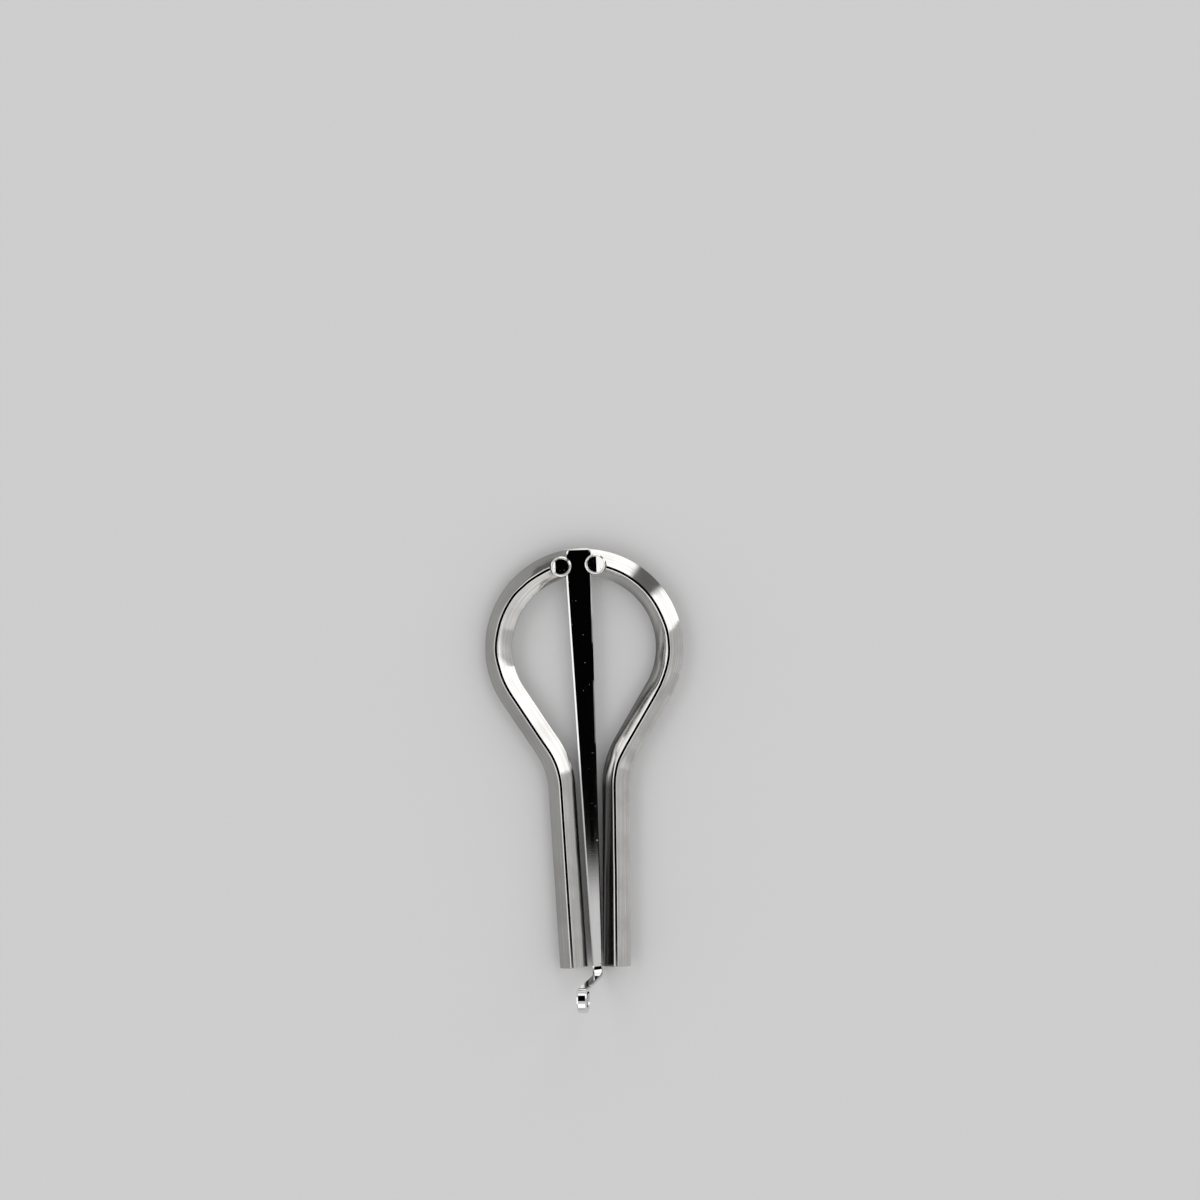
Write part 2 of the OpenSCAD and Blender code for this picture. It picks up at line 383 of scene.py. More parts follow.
def reedChrome(look):
    material, tree, metal = newMaterial("reed_chrome", 1.0)
    lay = layVector(tree)
    lines = placeGroup(tree, drawnLines,
                       {"Vector": lay, "Along": look["along"], "Across": look["across"]})
    dust, grit = (placeGroup(tree, specks, {"Vector": lay, "Spacing": spacing, "Size": size,
                                            "Share": share})["Mask"]
                  for spacing, size, share in (look["dust"], look["grit"]))
    marks = calc(tree, "MAXIMUM", dust, times(tree, grit, look["gritStrength"]))
    plug(tree, mixColour(tree, marks, look["light"], look["shade"]), metal.inputs["Base Color"])
    rough = plus(tree, look["smooth"], times(tree, lines["Streaks"], look["lineRough"]))
    rough = plus(tree, rough, times(tree, marks, look["speckRough"]))
    plug(tree, rough, metal.inputs["Roughness"])
    peel = noise(tree, lay, look["peelScale"], 2.0)
    height = plus(tree, times(tree, lines["Height"], look["lineDepth"]),
                  times(tree, peel, look["peelDepth"]))
    height = plus(tree, height, times(tree, marks, look["speckHeight"]))
    addBump(tree, height, metal)
    return material


barMetal = barNickel({
    "light": (0.76, 0.75, 0.73, 1), "shade": (0.64, 0.63, 0.61, 1), "streak": (0.50, 0.49, 0.475, 1),
    # painted shade: the dark colour laid over the bar's inner sides
    "paintedShade": (0.16, 0.157, 0.152, 1), "streakShare": 0.4, "cloudScale": 180.0, "clouds": (0.35, 0.7),
    "along": 110.0, "across": 9000.0, "lineDepth": 0.004 * mm,
    "smooth": 0.05, "rough": 0.10, "paintedShadeRough": 0.05, "nickRough": 0.25,
    "drawnOut": (0.35, 1.0, 1.0), "waveScale": 700.0, "waveDepth": 0.012 * mm,
    "chatterAlong": 5000.0, "chatterAcross": 5000.0 / 6, "chatterDepth": 0.0022 * mm,
    "nickSpacing": 2.2 * mm, "nickSize": 0.07, "nickShare": 0.3, "nickDepth": 0.004 * mm})
landMetal = pressedNickel({
    "light": (0.76, 0.75, 0.73, 1), "shade": (0.6, 0.59, 0.57, 1), "wearScale": 900.0,
    "worn": (0.5, 0.75), "dulled": (0.5, 0.8), "smooth": 0.03, "rough": 0.06})
lipMetal = struckNickel({
    "name": "staked_lip", "light": (0.80, 0.79, 0.77, 1), "dark": (0.5, 0.49, 0.47, 1),
    "pitScale": 1500.0, "pits": (0.62, 0.70), "pitDepth": 0.003 * mm, "smooth": 0.05, "rough": 0.14})
struckMetal = struckNickel({
    "name": "struck_nickel", "light": (0.72, 0.71, 0.69, 1), "dark": (0.4, 0.39, 0.38, 1),
    "pitScale": 2600.0, "pits": (0.64, 0.72), "pitDepth": 0.002 * mm, "smooth": 0.025, "rough": 0.12})
endMetal = shearedSteel({
    "light": (0.66, 0.64, 0.61, 1), "dark": (0.42, 0.41, 0.39, 1), "depth": 0.012 * mm,
    "lineScale": (9000.0, 9000.0, 500.0), "grainScale": 5000.0, "grains": (0.3, 0.7),
    "smooth": 0.3, "rough": 0.5})
reedMetal = reedChrome({
    "light": (0.78, 0.78, 0.78, 1), "shade": (0.6, 0.6, 0.6, 1), "smooth": 0.012,
    "along": 60.0, "across": 5000.0, "lineDepth": 0.0001 * mm, "lineRough": 0.015,
    "peelScale": 4200.0, "peelDepth": 0.0003 * mm,
    # Specks: spacing, size as a share of it, and in how many of the cells
    "dust": (1.5 * mm, 0.10, 0.5), "grit": (0.6 * mm, 0.13, 0.15), "gritStrength": 0.5,
    "speckHeight": 0.003 * mm, "speckRough": 0.3})
print("finishes made")


# The frame: one bar, bent along a path
bar = {
    "side": 4.0 * mm,
    "cornerRadius": 0.5 * mm,
    "bowRadius": 16.45 * mm,
    "neckAngle": math.radians(32),
    "neckRadius": 16.0 * mm,
    "armAngle": math.radians(1.7),
    "armGap": 3.1 * mm,
    "armReach": 61.5 * mm,
    "outerRadius": 0.36 * mm,     # of the two corners at the sides, which the dies left sharper
    "ridgeRadius": 0.62 * mm,     # of the upper corner, which the dies rubbed rounder
    "landWidth": 0.47 * mm,       # flat that the dies pressed on the upper and lower corner
    "landDepth": 0.15 * mm,       # a level face this near to the bar's top or bottom is such a flat
    "landFacing": 0.9999,
    "endDepth": 0.05 * mm,        # and one this near to an arm's end, and facing that way, is sheared
    "endFacing": 0.9,
    "sideCrown": 0.034 * mm,      # how far each side of the bar bulges
    "cornerSteps": 5,
    "sideSteps": 6,
    "bendStep": math.radians(1),
    "straightStep": 1.5 * mm,
    "endChamfer": 0.12 * mm,
    "sharpAngle": math.radians(13),
    # The bar rolled a little as it was bent: share of its length from the left arm's end, and degrees
    # outwards. With a roll share of 0 it stays straight
    "roll": [(0, 7), (0.215, 6), (0.25, 9), (0.31, 7.5), (0.335, 9), (0.357, 15), (0.38, 12),
             (0.415, 10.5), (0.435, 4), (0.455, 0), (0.5, 0), (0.522, -11), (0.605, -11.5),
             (0.635, -5.5), (0.655, -3.5), (0.675, -5.5), (0.71, -2), (0.765, -2), (0.785, -8.5),
             (0.865, -6.5), (0.905, -4.5), (1, -3.5)],
    "rollShare": 1.0,
}

# Places that follow from these sizes. From armEnd on they are measured from the middle of the bow
frameLow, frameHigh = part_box("frame")
midHeight = (frameLow.z + frameHigh.z) / 2
barHalf = midHeight - frameLow.z
bowMiddle = Vector((0, frameHigh.y - bar["bowRadius"] - barHalf, midHeight))
turnAngle = bar["neckAngle"] - bar["armAngle"]
armEnd = Vector((bar["armGap"] / 2 + barHalf / math.cos(bar["armAngle"]), -bar["armReach"]))
bowEnd = bar["bowRadius"] * Vector((math.cos(bar["neckAngle"]), -math.sin(bar["neckAngle"])))
neckRun = bar["neckRadius"] * math.tan(turnAngle / 2)
run = bowEnd - armEnd
sideRun = run.x * math.cos(bar["armAngle"]) - run.y * math.sin(bar["armAngle"])
sideLength = sideRun / math.sin(turnAngle) - neckRun
armRun = run.y * math.sin(bar["neckAngle"]) - run.x * math.cos(bar["neckAngle"])
armLength = armRun / math.sin(turnAngle) - neckRun


def barPath():
    # From the end of the left arm, over the crown, to the end of the right arm
    neck = ("bend", bar["neckRadius"], turnAngle)
    bow = ("bend", bar["bowRadius"], -(math.pi + 2 * bar["neckAngle"]))
    moves = [("straight", armLength), neck, ("straight", sideLength), bow,
             ("straight", sideLength), neck, ("straight", armLength)]
    place = Vector((-armEnd.x, armEnd.y))
    heading = math.pi / 2 + bar["armAngle"]
    points = [(place.copy(), heading, 0.0)]
    gone = 0.0
    for move in moves:
        if move[0] == "straight":
            steps = math.ceil(move[1] / bar["straightStep"])
            length, turn = move[1] / steps, 0.0
        else:
            steps = math.ceil(abs(move[2]) / bar["bendStep"])
            turn = move[2] / steps
            length = 2 * move[1] * math.sin(abs(turn) / 2)
        for _ in range(steps):
            heading += turn / 2
            place = place + length * Vector((math.cos(heading), math.sin(heading)))
            heading += turn / 2
            gone += length
            points.append((place.copy(), heading, gone))
    return points


def chamferEnds(points):
    # One more point beside each end, so that the section can draw in there
    first, last = points[0], points[-1]
    direction = Vector((math.cos(first[1]), math.sin(first[1])))
    backwards = Vector((math.cos(last[1]), math.sin(last[1])))
    cut = bar["endChamfer"]
    start = [(first[0], first[1], 0.0), (first[0] + direction * cut, first[1], cut)]
    finish = [(last[0] - backwards * cut, last[1], last[2] - cut), last]
    return start + points[1:-1] + finish


def barSection():
    # Outline of the bar standing on its corner: each point's place, the height of the hub that carries
    # it, and whether it turns with the bar. The two pressed corners move with the bar but stay level
    radii = (bar["outerRadius"], bar["ridgeRadius"], bar["outerRadius"], bar["cornerRadius"])
    arcs = []
    for corner, radius in enumerate(radii):
        reach = (bar["side"] / 2 - radius) * math.sqrt(2)
        middle = Matrix.Rotation(corner * math.pi / 2, 2) @ Vector((reach, 0))
        pressed = corner % 2 == 1
        first = math.asin(bar["landWidth"] / 2 / radius) if pressed else 0.0
        rise = [first + (math.pi / 4 - first) * k / bar["cornerSteps"]
                for k in range(bar["cornerSteps"] + 1)]
        bothWays = [-a for a in reversed(rise)] + rise[0 if pressed else 1:]
        turns = [corner * math.pi / 2 + a for a in bothWays]
        hub, share = (middle.y, 0.0) if pressed else (0.0, 1.0)
        arcs.append([(middle + radius * Vector((math.cos(a), math.sin(a))), hub, share)
                     for a in turns])
    points = []
    for corner, arc in enumerate(arcs):
        start, end = arc[-1][0], arcs[(corner + 1) % len(arcs)][0][0]
        outward = Vector((end.y - start.y, start.x - end.x)).normalized()
        points += arc
        for k in range(1, bar["sideSteps"]):
            share = k / bar["sideSteps"]
            place = start.lerp(end, share) + outward * bar["sideCrown"] * 4 * share * (1 - share)
            points.append((place, 0.0, 1.0))
    return points


def pathObject(points):
    total = points[-1][2]
    spots = [bowMiddle + Vector((p.x, p.y, 0)) for p, _, _ in points]
    mesh = meshOf("bar_path", spots, edges=[(k, k + 1) for k in range(len(spots) - 1)])
    outward = [(-math.sin(h), math.cos(h), 0) for _, h, _ in points]
    roll = [math.radians(smoothInterp(bar["roll"], gone / total)) for _, _, gone in points]
    drawnIn = 1 - bar["endChamfer"] / barHalf
    setAttribute(mesh, "centre", "FLOAT_VECTOR", spots)
    setAttribute(mesh, "outward", "FLOAT_VECTOR", outward)
    setAttribute(mesh, "roll", "FLOAT", roll)
    setAttribute(mesh, "fullness", "FLOAT", [drawnIn] + [1.0] * (len(points) - 2) + [drawnIn])
    return linkObject("harp_bar", mesh)


def sectionObject(section):
    mesh = meshOf("bar_section", [(p.x, p.y, 0) for p, _, _ in section],
                  edges=[(k, (k + 1) % len(section)) for k in range(len(section))])
    setAttribute(mesh, "across", "FLOAT", [p.x for p, _, _ in section])
    setAttribute(mesh, "up", "FLOAT", [p.y for p, _, _ in section])
    setAttribute(mesh, "hub", "FLOAT", [hub for _, hub, _ in section])
    setAttribute(mesh, "turns", "FLOAT", [share for _, _, share in section])
    return linkObject("bar_section", mesh)


def sweepTree():
    # Sweeps the section along the path, then places each point by the path's and the section's values
    tree, given, wanted = newGroup(
        "SweepBar", "GeometryNodeTree",
        [("Geometry", "NodeSocketGeometry", None), ("Section", "NodeSocketObject", None),
         ("Roll Share", "NodeSocketFloat", 1.0), ("Material", "NodeSocketMaterial", None)],
        [("Geometry", "NodeSocketGeometry")])

    def named(name, kind="FLOAT"):
        made = addNode(tree, "GeometryNodeInputNamedAttribute", {"Name": name}, data_type=kind)
        return made.outputs["Attribute"]

    def both(operation, first, second):
        made = addNode(tree, "ShaderNodeVectorMath", {0: first}, operation=operation)
        plug(tree, second, made.inputs["Scale" if operation == "SCALE" else 1])
        return made.outputs[0]

    path = addNode(tree, "GeometryNodeMeshToCurve", {"Mesh": given["Geometry"]})
    info = addNode(tree, "GeometryNodeObjectInfo", {"Object": given["Section"]})
    profile = addNode(tree, "GeometryNodeMeshToCurve", {"Mesh": info.outputs["Geometry"]})
    swept = addNode(tree, "GeometryNodeCurveToMesh",
                    {"Curve": path.outputs[0], "Profile Curve": profile.outputs[0], "Fill Caps": True})

    across, up, hub = named("across"), named("up"), named("hub")
    roll = times(tree, named("roll"), given["Roll Share"])
    rest = calc(tree, "SUBTRACT", up, hub)
    pointRoll = times(tree, named("turns"), roll)
    sine, cosine = calc(tree, "SINE", pointRoll), calc(tree, "COSINE", pointRoll)
    sideways = plus(tree, times(tree, hub, calc(tree, "SINE", roll)),
                    plus(tree, times(tree, across, cosine), times(tree, rest, sine)))
    turned = calc(tree, "SUBTRACT", times(tree, rest, cosine), times(tree, across, sine))
    upwards = plus(tree, times(tree, hub, calc(tree, "COSINE", roll)), turned)
    full = named("fullness")
    lifted = addNode(tree, "ShaderNodeCombineXYZ", {"Z": times(tree, upwards, full)})
    outward = both("SCALE", named("outward", "FLOAT_VECTOR"), times(tree, sideways, full))
    place = both("ADD", both("ADD", named("centre", "FLOAT_VECTOR"), outward), lifted.outputs[0])
    placed = addNode(tree, "GeometryNodeSetPosition",
                     {"Geometry": swept.outputs[0], "Position": place})
    real = addNode(tree, "GeometryNodeRealizeInstances", {"Geometry": placed.outputs[0]})
    finished = addNode(tree, "GeometryNodeSetMaterial",
                       {"Geometry": real.outputs[0], "Material": given["Material"]})
    plug(tree, finished.outputs[0], wanted["Geometry"])
    return tree


def layAlong(mesh, points):
    # Each point's place along, across and above the bar, which the fine lines follow
    tree = KDTree(len(points))
    for k, (place, _, _) in enumerate(points):
        tree.insert(bowMiddle + Vector((place.x, place.y, 0)), k)
    tree.balance()
    lay = []
    for vertex in mesh.vertices:
        level = Vector((vertex.co.x, vertex.co.y, bowMiddle.z))
        _, nearest, _ = tree.find(level)
        place, heading, gone = points[nearest]
        away = level - bowMiddle - Vector((place.x, place.y, 0))
        direction = Vector((math.cos(heading), math.sin(heading), 0))
        outward = Vector((-direction.y, direction.x, 0))
        lay.append((gone + away.dot(direction), away.dot(outward), vertex.co.z))
    setAttribute(mesh, "lay", "FLOAT_VECTOR", lay)


def markFaces(mesh):
    # The faces that close the arms are sheared, and the level lands on the corners are pressed smooth
    mesh.materials.append(endMetal)
    mesh.materials.append(landMetal)
    sheared, pressed = len(mesh.materials) - 2, len(mesh.materials) - 1
    ending, topping = bowMiddle.y - bar["armReach"] + bar["endDepth"], barHalf - bar["landDepth"]
    for face in mesh.polygons:
        if -face.normal.y > bar["endFacing"] and face.center.y < ending:
            face.material_index = sheared
        elif abs(face.normal.z) > bar["landFacing"] and abs(face.center.z - midHeight) > topping:
            face.material_index = pressed


pathPoints = barPath()
section = sectionObject(barSection())
harpBar = pathObject(chamferEnds(pathPoints))
runTree(harpBar, sweepTree(),
        {"Section": section, "Roll Share": bar["rollShare"], "Material": barMetal})
bpy.data.objects.remove(section)
faceOutwards(harpBar.data)
print("bar swept:", len(harpBar.data.polygons), "faces")


# The reed: one strip from its head in the crown to the curl on its trigger
reed = {
    "thickness": 0.85 * mm,
    "rootWidth": 4.8 * mm,
    "tipWidth": 1.9 * mm,
    "headShift": 0.6 * mm,
    "headInset": 0.3 * mm,
    "headRise": 0.5 * mm,
    "tipDrop": 0.18 * mm,
    "tipSideShare": 0.66,
    "leftBevel": 0.3 * mm,
    "leftBevelShare": 0.16,       # of the width, past which the left bevel doesn't go
    "bevel": 0.2 * mm,
    "headCorner": (0.5 * mm, 0.22 * mm),     # how far the head draws in at its left and right corner
    "headCornerRun": (1.1 * mm, 0.35 * mm),  # and over what length
    "step": 0.8 * mm,
    "bendRadius": 1.7 * mm,
    "easeRun": 0.2 * mm,          # gentle start of the bend, ahead of the tight one
    "easeRadius": 13.0 * mm,
    "lean": math.radians(12.3),
    "sideLean": math.radians(18),
    "stemLength": 9.8 * mm,
    "driftSoft": 0.8 * mm,
    # Turn of the direction across the strip, by the distance from the stem's foot
    "acrossLean": [(-3.4 * mm, 0.0), (-2.2 * mm, math.radians(-5)), (0.0, math.radians(-3)),
                   (9.3 * mm, math.radians(9))],
    "curlDiameter": 4.9 * mm,
    "curlTurn": math.radians(300),
    "bendStep": 0.12 * mm,
    "sharpAngle": math.radians(30),
}

# The reed's own frame: x across it, y along it from the middle of the crown's bar, z its thickness
headPoint = Vector((-reed["headShift"], bar["bowRadius"], reed["headRise"]))
tipPlay = (bar["armGap"] - reed["tipWidth"]) / 2
tipPoint = Vector((tipPlay * reed["tipSideShare"], -bar["armReach"], -reed["tipDrop"]))
reedLine = tipPoint - headPoint
reedLength = reedLine.length
reedSlant = math.atan2(reedLine.x, -reedLine.y)
reedPitch = math.asin(-reedLine.z / reedLength)
reedTaper = (reed["rootWidth"] - reed["tipWidth"]) / (reedLength - barHalf)
reedPlace = (Matrix.Translation(bowMiddle + headPoint) @ Matrix.Rotation(reedSlant, 4, "Z")
             @ Matrix.Rotation(reedPitch, 4, "X"))


def reedWidth(y):
    return reed["rootWidth"] + (y + barHalf) * reedTaper


def reedRings():
    # From head to curl: middle, direction across, direction of the upper face, width, length so far
    rings = []
    flat, top = Vector((1, 0, 0)), Vector((0, 0, 1))
    head = barHalf - reed["headInset"]
    corner = max(reed["headCornerRun"])
    for drop in sorted({0.0, *reed["headCornerRun"]}):
        left, right = (inset * max(0.0, 1 - drop / length)
                       for inset, length in zip(reed["headCorner"], reed["headCornerRun"]))
        y = head - drop
        middle = Vector(((left - right) / 2, y, 0))
        rings.append((middle, flat, top, reedWidth(y) - left - right, drop))
    straight = reedLength - reed["easeRun"]
    steps = math.ceil((head - corner + straight) / reed["step"])
    for k in range(1, steps + 1):
        y = head - corner - (head - corner + straight) * k / steps
        rings.append((Vector((0, y, 0)), flat, top, reedWidth(y), head - y))

    # The bend: it runs on along the reed as it rises, and drifts to the left
    bendTurn = math.pi / 2 - reed["lean"]
    easeTurn = reed["easeRun"] / reed["easeRadius"]
    bendLength = reed["easeRun"] + reed["bendRadius"] * (bendTurn - easeTurn)
    place, turn, gone = Vector((0, -straight, 0)), 0.0, 0.0
    for radius, last in ((reed["easeRadius"], easeTurn), (reed["bendRadius"], bendTurn)):
        steps = math.ceil((last - turn) * radius / reed["bendStep"])
        part = (last - turn) / steps
        for _ in range(steps):
            place += 2 * radius * math.sin(part / 2) * forwardAt(turn + part / 2)
            turn += part
            gone += radius * part
            s = gone - bendLength
            rings.append((place - sideDrift(s) * flat, acrossAt(s, forwardAt(turn)), upperAt(turn),
                          reed["tipWidth"], head + straight + gone))
    foot, upwards, outer = place.copy(), forwardAt(turn), upperAt(turn)

    rise = reed["stemLength"] * math.cos(reed["sideLean"])
    bent = head + straight + bendLength
    stemSteps = math.ceil(reed["stemLength"] / reed["step"])
    for k in range(1, stemSteps):
        s = rise * k / stemSteps
        rings.append((foot + upwards * s - sideDrift(s) * flat, acrossAt(s, upwards), outer,
                      reed["tipWidth"], bent + reed["stemLength"] * k / stemSteps))

    # The curl: rolled outwards from the top of the stem, about an axis across it
    curl = (reed["curlDiameter"] - reed["thickness"]) / 2
    across = acrossAt(rise, upwards)
    climb = across.cross(outer)
    centre = foot + upwards * rise - sideDrift(rise) * flat - outer * curl
    curlSteps = math.ceil(reed["curlTurn"] * curl / reed["bendStep"])
    for k in range(curlSteps + 1):
        turn = reed["curlTurn"] * k / curlSteps
        radial = math.cos(turn) * outer + math.sin(turn) * climb
        rings.append((centre + curl * radial, across, radial, reed["tipWidth"],
                      bent + reed["stemLength"] + curl * turn))
    return rings


def forwardAt(turn):
    # Way that the reed runs on where it has bent up by this angle
    return Vector((0, -math.cos(turn), math.sin(turn)))


def upperAt(turn):
    # Way that its upper face looks there
    return Vector((0, math.sin(turn), math.cos(turn)))


def sideDrift(s):
    # How far the stem has gone to the left, at a distance from its foot
    soft = reed["driftSoft"]
    return math.tan(reed["sideLean"]) * (s + math.sqrt(s * s + soft * soft)) / 2


def acrossAt(s, forward):
    # Direction across the strip: its left edge leads in the bend, its right edge is higher at the curl
    lean = smoothInterp(reed["acrossLean"], max(s, reed["acrossLean"][0][0]))
    return math.cos(lean) * Vector((1, 0, 0)) + math.sin(lean) * forward


def reedSection(width):
    # Corners of the strip's section, from the left along the upper face and back along the lower one
    half, deep = width / 2, reed["thickness"] / 2
    small, large = reed["bevel"], min(reed["leftBevel"], width * reed["leftBevelShare"])
    return [(-half, deep - small), (-half + large, deep), (half - small, deep), (half, deep - small),
            (half, small - deep), (half - small, -deep), (small - half, -deep), (-half, small - deep)]


def buildReed():
    points, faces, lay = [], [], []
    rings = reedRings()
    for middle, across, upper, width, gone in rings:
        for x, z in reedSection(width):
            points.append(reedPlace @ (middle + across * x + upper * z))
            lay.append((gone, x, z))
    size = len(points) // len(rings)
    for start in range(0, len(points) - size, size):
        faces += [(start + j, start + (j + 1) % size, start + size + (j + 1) % size, start + size + j)
                  for j in range(size)]
    faces += [tuple(range(size)), tuple(len(points) - 1 - j for j in range(size))]
    mesh = meshOf("harp_reed", points, faces)
    setAttribute(mesh, "lay", "FLOAT_VECTOR", lay)
    mesh.materials.append(reedMetal)
    faceOutwards(mesh)
    finishSmooth(mesh, reed["sharpAngle"])
    return linkObject("harp_reed", mesh)


harpReed = buildReed()
print("reed rolled:", len(harpReed.data.polygons), "faces")


# The crown: a slot for the reed's head, and a punch mark on either side that presses the bar over it
stake = {
    "overrun": 1 * mm,            # of a tool past the metal that it cuts
    "slotClear": 0.05 * mm,
    "rimInset": 0.005 * mm,       # of a rim from the slot's wall, so that the two join cleanly
    "dressAngle": math.radians(34),   # of the slot's floor beyond the reed's head
    "dressStart": 0.06 * mm,
    "dressOver": 0.55 * mm,       # how far it runs on past each side of the slot
    "dressSize": 2 * mm,
    "out": 0.9 * mm,              # of a mark's middle from the reed's edge
    "inside": 0.25 * mm,          # and inwards from the middle of the bar
    "rimDiameter": 3.9 * mm,
    "mouthDiameter": 3.36 * mm,
    "floorDiameter": 3.2 * mm,
    "lip": 0.35 * mm,
    "depth": 0.9 * mm,
    "crestSlope": math.radians(28),
    "crestRound": 0.08 * mm,
    "rimWall": (0.06 * mm, 0.02 * mm, -0.01 * mm, -0.06 * mm),   # past its radius, from its foot up
    "edgeDrop": 0.3,              # of the wall's rounded edge, as a share of the crest's rounding
    "shoulderDrop": 0.85,         # of its shoulder, as a share of the crest's fall
    "lipTuck": 0.6,
    "lipRise": 0.1,
    # Inside of a mark, upwards: past the radius and above the height of its floor, then of its mouth
    "markFloor": ((-0.1 * mm, 0.0), (0.0, 0.08 * mm)),
    "markMouth": ((-0.04 * mm, -0.13 * mm), (0.02 * mm, -0.04 * mm), (0.10 * mm, 0.03 * mm)),
    "rampAngle": math.radians(24),
    "rampStart": {-1: 1.1 * mm, 1: 0.22 * mm},   # of a mark's sloped side, outwards from its middle
    "gap": 0.12 * mm,             # round a rim, where the bar's ridge is pushed back
    "pushDepth": 0.27 * mm,       # how far below the rim's crest that goes
    "pushTop": 0.4 * mm,
    "pushFlare": 0.25 * mm,
    "wobble": 0.012,
    "wobbles": ((2, 1.0, 1), (3, 0.7, 2), (7, 0.4, 3)),   # waves to a turn, size, shift by the seed
    "segments": 72,
}

sides = (-1, 1)
lipHeight = reed["headRise"] + reed["thickness"] / 2
floorHeight = lipHeight + stake["lip"]
rimHeight = floorHeight + stake["depth"]


def lathe(name, outline, middle, material, seed, stepShare=0.0):
    # Turns an outline of (radius, height) pairs, from the axis to the axis, about an upright line. The
    # share of a step keeps the seams of pieces that are cut from each other apart
    count = stake["segments"]
    points, faces = [], []
    for k in range(count):
        angle = 2 * math.pi * (k + stepShare) / count
        swell = 1 + stake["wobble"] * sum(size * math.sin(waves * angle + shift * seed)
                                          for waves, size, shift in stake["wobbles"])
        points += [middle + Vector((r * swell * math.cos(angle), r * swell * math.sin(angle), z))
                   for r, z in outline[1:-1]]
    ring = len(outline) - 2
    low, high = len(points), len(points) + 1
    points += [middle + Vector((0, 0, outline[0][1])), middle + Vector((0, 0, outline[-1][1]))]
    starts = [(k * ring, (k + 1) % count * ring) for k in range(count)]
    for here, there in starts:
        faces += [(here + j, there + j, there + j + 1, here + j + 1) for j in range(ring - 1)]
    for here, there in starts:
        faces += [(low, there, here), (high, here + ring - 1, there + ring - 1)]
    mesh = meshOf(name, points, faces)
    mesh.materials.append(material)
    faceOutwards(mesh)
    return linkObject(name, mesh)


def slotCutter(name, low, high, clearance):
    # The slot follows the reed's sides and its head's corners, and runs on past both sides of the bar
    overrun, head = barHalf + stake["overrun"], barHalf - reed["headInset"]
    left, right = [], []
    for edge, inset, length in zip((left, right), reed["headCorner"], reed["headCornerRun"]):
        for y, drawIn in ((-overrun, 0), (head - length, 0), (head, inset), (overrun, inset)):
            edge.append((reedWidth(min(y, head)) / 2 + clearance - drawIn, y))
    outline = right + [(-x, y) for x, y in reversed(left)]
    return prismObject(name, reedPlace, outline, low, high, barMetal)


def dressing():
    # Block that takes the slot's floor down towards the outer edge, beyond the reed's head
    half, size = reed["rootWidth"] / 2 + stake["dressOver"], stake["dressSize"]
    y = barHalf - reed["headInset"] + stake["dressStart"]
    start = reedPlace @ Vector((0, y, -reed["thickness"] / 2))
    turned = Matrix.Translation(start) @ Matrix.Rotation(-stake["dressAngle"], 4, "X")
    outline = [(-half, 0), (half, 0), (half, size), (-half, size)]
    return prismObject("dressing", turned, outline, 0, size, barMetal)


def stakeMiddle(side):
    x = headPoint.x + side * (reed["rootWidth"] / 2 + stake["out"])
    return bowMiddle + Vector((x, math.sqrt((bar["bowRadius"] - stake["inside"]) ** 2 - x * x), 0))


def pushedBack(side):
    radius = stake["rimDiameter"] / 2 + stake["gap"]
    low, high = rimHeight - stake["pushDepth"], barHalf + stake["pushTop"]
    outline = [(0, low), (radius, low), (radius + stake["pushFlare"], high), (0, high)]
    return lathe("pushed_back", outline, stakeMiddle(side), barMetal, 1.0 + side, 0.3)


def rim(side):
    # Lip that the punch raised: a steep wall, a crest that slopes outwards, and a rounded edge
    radius, curve = stake["rimDiameter"] / 2, stake["crestRound"]
    crest = stake["mouthDiameter"] / 2 + curve
    fall = (radius - crest) * math.tan(stake["crestSlope"])
    foot, wall, edge, shoulder = (radius + past for past in stake["rimWall"])
    top = rimHeight + stake["lipRise"] * curve
    outline = [(0, 0), (foot, 0), (wall, rimHeight - fall - curve),
               (edge, rimHeight - fall - stake["edgeDrop"] * curve),
               (shoulder, rimHeight - fall * stake["shoulderDrop"]),
               (crest, rimHeight), (crest - stake["lipTuck"] * curve, top), (0, top)]
    made = lathe("rim", outline, stakeMiddle(side), lipMetal, 1.0 + side)
    clearance = stake["slotClear"] - stake["rimInset"]
    tool = slotCutter("under_lips", -barHalf, reed["thickness"] / 2, clearance)
    carve(made, [("DIFFERENCE", tool)])
    return made


def mark(side):
    # Tool that leaves the punch mark: a round hollow with a level floor, and a slope on its outer side
    floor, mouth = stake["floorDiameter"] / 2, stake["mouthDiameter"] / 2
    top = rimHeight + stake["overrun"]
    outline = [(0, floorHeight)]
    outline += [(floor + past, floorHeight + above) for past, above in stake["markFloor"]]
    outline += [(mouth + past, rimHeight + above) for past, above in stake["markMouth"]]
    outline += [(outline[-1][0], top), (0, top)]
    tool = lathe("mark", outline, stakeMiddle(side), struckMetal, 2.0 + side, 0.5)
    carve(tool, [("DIFFERENCE", ramp(side))])
    return tool


def ramp(side):
    # Block under the sloped side of a punch mark's floor
    size = stake["mouthDiameter"]
    start = stakeMiddle(side) + Vector((side * stake["rampStart"][side], 0, floorHeight))
    turned = Matrix.Translation(start) @ Matrix.Rotation(-side * stake["rampAngle"], 4, "Y")
    outline = [(side * x * size, y * size) for x, y in ((0, -1), (2, -1), (2, 1), (0, 1))]
    return prismObject("ramp", turned, outline, -size, 0, struckMetal)


